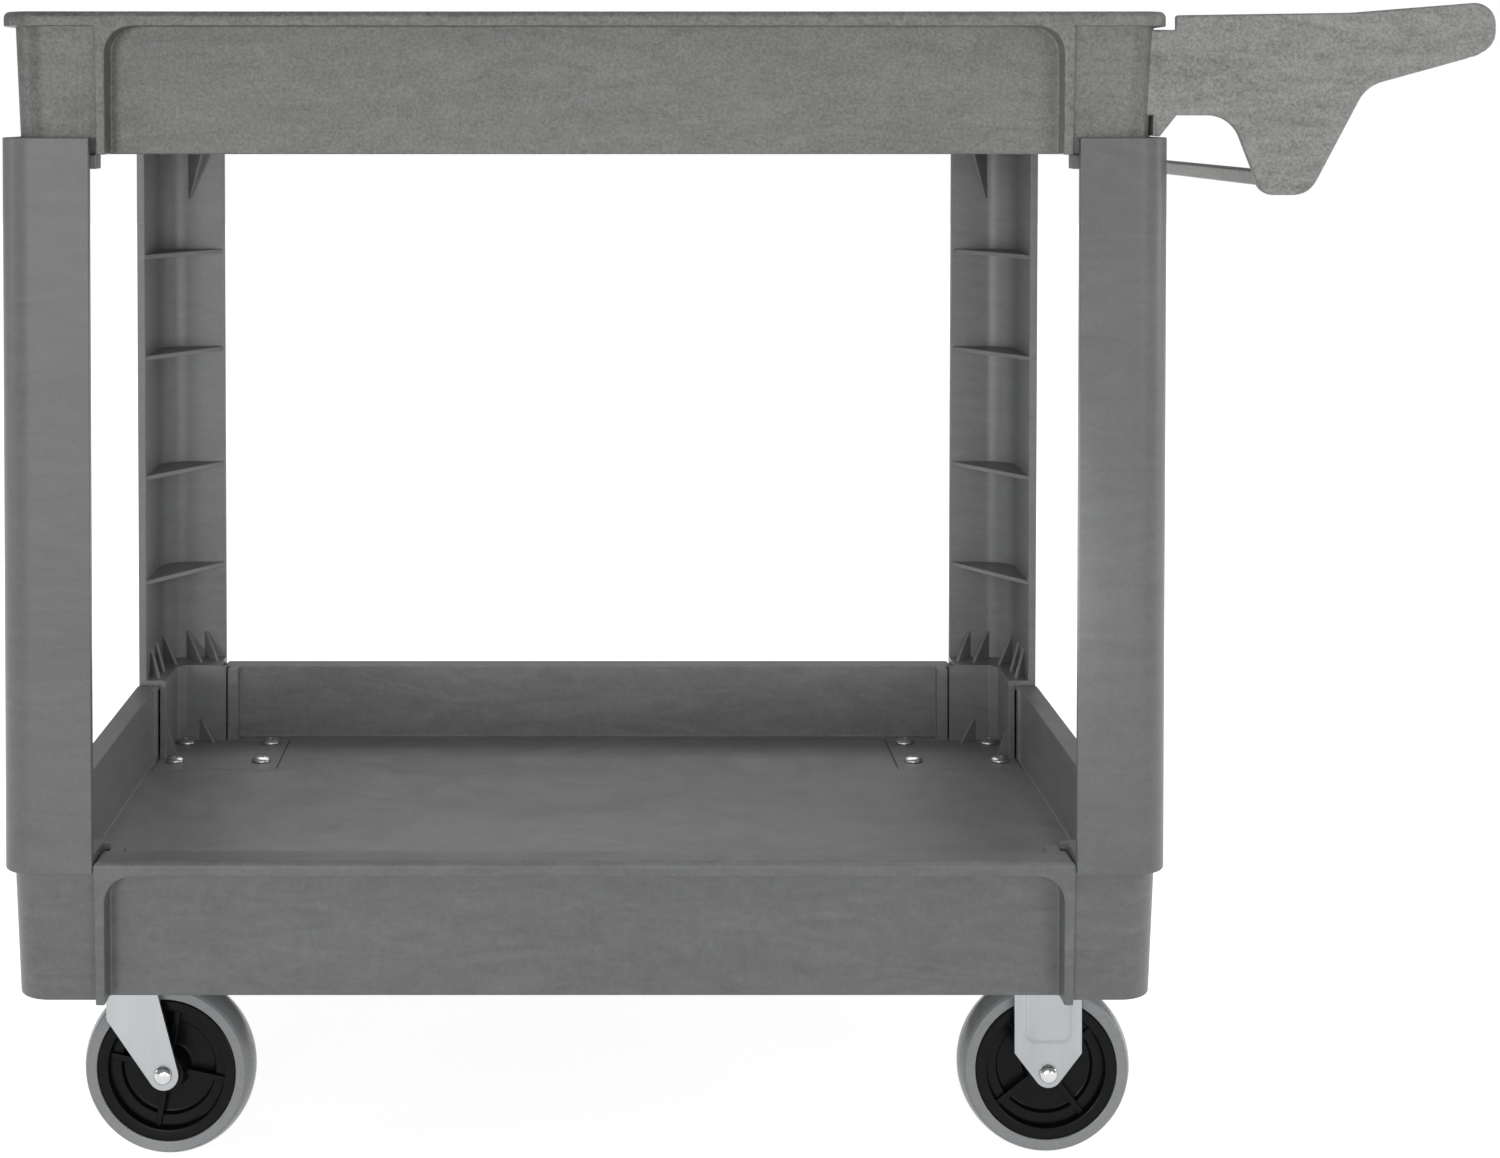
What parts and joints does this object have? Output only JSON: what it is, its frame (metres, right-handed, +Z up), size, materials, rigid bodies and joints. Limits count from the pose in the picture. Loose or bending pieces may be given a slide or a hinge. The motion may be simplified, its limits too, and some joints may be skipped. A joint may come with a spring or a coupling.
{
  "type": "utility cart",
  "caption": "Moulded plastic service cart with lipped upper and lower trays on ribbed corner posts, a handle at the end, and swivel and rigid casters.",
  "frame": {"origin": "middle of the cart's length and width, on the floor", "axes": "+X along the cart towards the handle, +Z up; the rigid casters are at the +X end"},
  "size_m": [1.0716, 0.641, 0.8473],
  "materials": {
    "tray_plastic": "mottled structural foam, satin",
    "post_plastic": "structural foam, satin",
    "handle_plastic": "mottled structural foam, satin",
    "plated_steel": "zinc plated",
    "zinc": "bright zinc plate",
    "chrome": "polished",
    "bushing_nylon": "natural nylon",
    "hub_plastic": "black, satin",
    "tyre_rubber": "smooth grey tread"
  },
  "bodies": {
    "cart": {"upper_tray": "tray_plastic", "lower_tray": "tray_plastic", "post_front_left": "post_plastic", "post_front_right": "post_plastic", "post_back_left": "post_plastic", "post_back_right": "post_plastic", "handle": "handle_plastic", "handle_bolt_1": "plated_steel", "handle_bolt_2": "plated_steel", "handle_bolt_3": "plated_steel", "handle_bolt_4": "plated_steel", "post_bolt_front_left_1": "plated_steel", "post_bolt_front_left_2": "plated_steel", "post_bolt_front_right_1": "plated_steel", "post_bolt_front_right_2": "plated_steel", "post_bolt_back_left_1": "plated_steel", "post_bolt_back_left_2": "plated_steel", "post_bolt_back_right_1": "plated_steel", "post_bolt_back_right_2": "plated_steel", "caster_bolt_front_left_1": "plated_steel", "caster_bolt_front_left_2": "plated_steel", "caster_bolt_front_left_3": "plated_steel", "caster_bolt_front_left_4": "plated_steel", "caster_bolt_front_right_1": "plated_steel", "caster_bolt_front_right_2": "plated_steel", "caster_bolt_front_right_3": "plated_steel", "caster_bolt_front_right_4": "plated_steel", "caster_bolt_back_left_1": "plated_steel", "caster_bolt_back_left_2": "plated_steel", "caster_bolt_back_left_3": "plated_steel", "caster_bolt_back_left_4": "plated_steel", "caster_bolt_back_right_1": "plated_steel", "caster_bolt_back_right_2": "plated_steel", "caster_bolt_back_right_3": "plated_steel", "caster_bolt_back_right_4": "plated_steel", "swivel_caster_front_top_plate": "zinc", "swivel_caster_front_ball_race": "zinc", "swivel_caster_back_top_plate": "zinc", "swivel_caster_back_ball_race": "zinc", "rigid_caster_front_frame": "zinc", "rigid_caster_front_axle": "chrome", "rigid_caster_back_frame": "zinc", "rigid_caster_back_axle": "chrome"},
    "swivel_front": {"swivel_caster_front_fork": "zinc", "swivel_caster_front_axle": "chrome"},
    "swivel_back": {"swivel_caster_back_fork": "zinc", "swivel_caster_back_axle": "chrome"},
    "swivel_wheel_front": {"swivel_caster_front_bushing": "bushing_nylon", "swivel_caster_front_hub": "hub_plastic", "swivel_caster_front_tyre": "tyre_rubber"},
    "swivel_wheel_back": {"swivel_caster_back_bushing": "bushing_nylon", "swivel_caster_back_hub": "hub_plastic", "swivel_caster_back_tyre": "tyre_rubber"},
    "rigid_wheel_front": {"rigid_caster_front_bushing": "bushing_nylon", "rigid_caster_front_hub": "hub_plastic", "rigid_caster_front_tyre": "tyre_rubber"},
    "rigid_wheel_back": {"rigid_caster_back_bushing": "bushing_nylon", "rigid_caster_back_hub": "hub_plastic", "rigid_caster_back_tyre": "tyre_rubber"}
  },
  "joints": [
    {"name": "swivel_front_turn", "type": "hinge", "parent": "cart", "child": "swivel_front", "pos_m": [-0.45815, -0.2345, 0.145], "axis": [0, 0, 1], "continuous": true},
    {"name": "swivel_back_turn", "type": "hinge", "parent": "cart", "child": "swivel_back", "pos_m": [-0.45815, 0.2345, 0.145], "axis": [0, 0, 1], "continuous": true},
    {"name": "swivel_wheel_front_roll", "type": "hinge", "parent": "swivel_front", "child": "swivel_wheel_front", "pos_m": [-0.42528, -0.23738, 0.0635], "axis": [0.0872, 0.9962, 0], "continuous": true},
    {"name": "swivel_wheel_back_roll", "type": "hinge", "parent": "swivel_back", "child": "swivel_wheel_back", "pos_m": [-0.42528, 0.23162, 0.0635], "axis": [0.0872, 0.9962, 0], "continuous": true},
    {"name": "rigid_wheel_front_roll", "type": "hinge", "parent": "cart", "child": "rigid_wheel_front", "pos_m": [0.22145, -0.2345, 0.0635], "axis": [0, 1, 0], "continuous": true},
    {"name": "rigid_wheel_back_roll", "type": "hinge", "parent": "cart", "child": "rigid_wheel_back", "pos_m": [0.22145, 0.2345, 0.0635], "axis": [0, 1, 0], "continuous": true}
  ]
}
